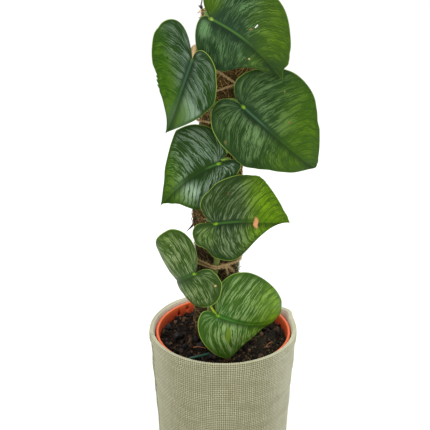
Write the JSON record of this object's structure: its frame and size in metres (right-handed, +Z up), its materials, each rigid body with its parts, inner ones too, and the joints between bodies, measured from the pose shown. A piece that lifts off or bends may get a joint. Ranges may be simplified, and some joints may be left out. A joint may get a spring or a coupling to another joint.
{
  "type": "potted monstera dubia",
  "caption": "Young climbing monstera with overlapping silver-streaked heart leaves on a coir pole, in a plastic nursery pot inside a round woven fabric cover pot",
  "frame": {"origin": "middle of the cover pot's flat foot, on the surface it stands on", "axes": "+Z is up, -Y is the side that the leaves face, +X is the right-hand side seen from the front"},
  "size_m": [0.1441, 0.1318, 0.4246],
  "materials": {
    "cover_fabric": "matte",
    "terracotta_plastic": "satin",
    "soil": "matte",
    "green_plastic": "satin",
    "stake_wood": "matte",
    "coir": "matte",
    "vine": "satin",
    "leaf": "satin",
    "twine": "matte",
    "black_wire": "satin"
  },
  "bodies": {
    "root": {"cover_pot": "cover_fabric", "nursery_pot": "terracotta_plastic", "soil": "soil", "green_stake": "green_plastic", "pole_core": "stake_wood", "pole_coir": "coir", "vine": "vine", "tie_1": "twine", "tie_2": "twine", "tie_3": "twine", "wire_tie": "black_wire", "leaf_1": "leaf", "leaf_2": "leaf", "leaf_3": "leaf", "leaf_4": "leaf", "leaf_5": "leaf", "leaf_6": "leaf", "leaf_7": "leaf"}
  },
  "joints": []
}
